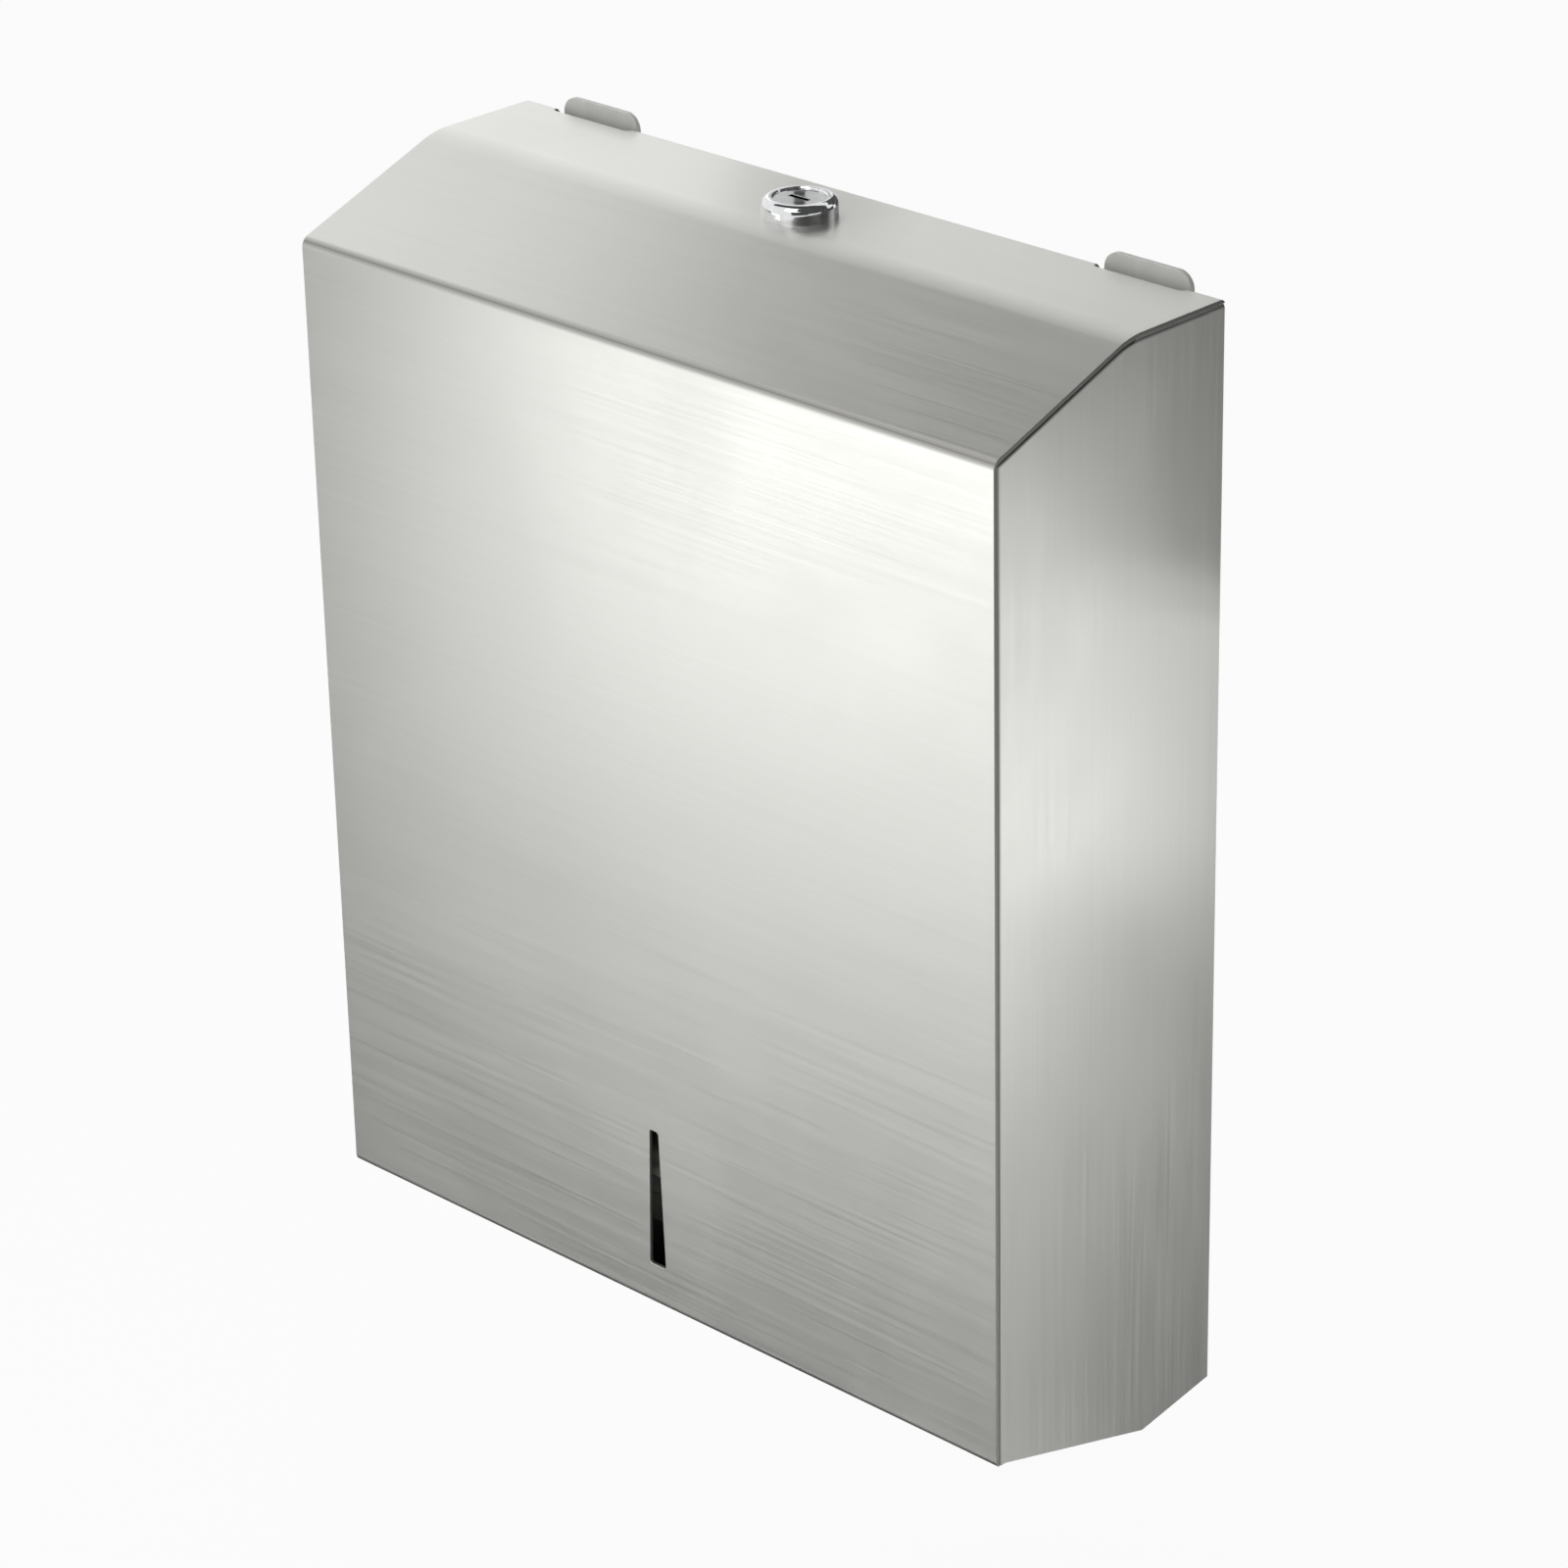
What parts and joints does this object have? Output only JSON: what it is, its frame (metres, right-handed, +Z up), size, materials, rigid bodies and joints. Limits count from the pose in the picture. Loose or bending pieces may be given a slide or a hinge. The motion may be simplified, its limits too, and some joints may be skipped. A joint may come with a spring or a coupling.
{
  "type": "paper towel dispenser",
  "caption": "Wall-hung brushed steel dispenser for folded paper towels: a drop-down cover with a sloped top, tapered viewing slot and cam lock, over a screwed wall plate with guides and tray.",
  "frame": {"origin": "in the wall plane, at the middle of the four wall-screw holes", "axes": "+Z up, +X to the right of someone facing the front, +Y into the wall"},
  "size_m": [0.27, 0.096, 0.347],
  "materials": {
    "brushed_stainless": "brushed along the width, satin",
    "inner_steel": "plain mill finish",
    "zinc_steel": "bright zinc plated",
    "spring_steel": "phosphated dark",
    "rivet_aluminium": "plain",
    "lock_chrome": "polished",
    "bush_nylon": "natural white, matte",
    "bumper_rubber": "matte black"
  },
  "bodies": {
    "wall_frame": {"wall_plate": "inner_steel", "left_towel_guide": "inner_steel", "right_towel_guide": "inner_steel", "towel_tray": "inner_steel", "strike_bracket": "zinc_steel", "guide_rivets": "rivet_aluminium", "tray_rivets": "rivet_aluminium", "strike_rivets": "rivet_aluminium", "closing_bumpers": "bumper_rubber", "left_hinge_bush": "bush_nylon", "right_hinge_bush": "bush_nylon"},
    "cover": {"cover_shell": "brushed_stainless", "left_side_plate": "brushed_stainless", "right_side_plate": "brushed_stainless", "bottom_tie": "inner_steel", "left_hinge_stud": "zinc_steel", "right_hinge_stud": "zinc_steel", "left_hinge_washer": "zinc_steel", "right_hinge_washer": "zinc_steel", "left_hinge_clip": "spring_steel", "right_hinge_clip": "spring_steel", "lock_doubler": "inner_steel", "lock_housing": "lock_chrome", "lock_washer": "zinc_steel", "lock_nut": "zinc_steel"},
    "lock_core": {"lock_plug": "lock_chrome", "lock_cam": "zinc_steel", "cam_washer": "zinc_steel", "cam_screw": "zinc_steel"}
  },
  "joints": [
    {"name": "cover_hinge", "type": "hinge", "parent": "wall_frame", "child": "cover", "pos_m": [0, -0.018, -0.164], "axis": [1, 0, 0], "range_deg": [0, 90]},
    {"name": "lock_turn", "type": "hinge", "parent": "cover", "child": "lock_core", "pos_m": [0, -0.027, 0.165], "axis": [0, 0, -1], "range_deg": [0, 90]}
  ]
}
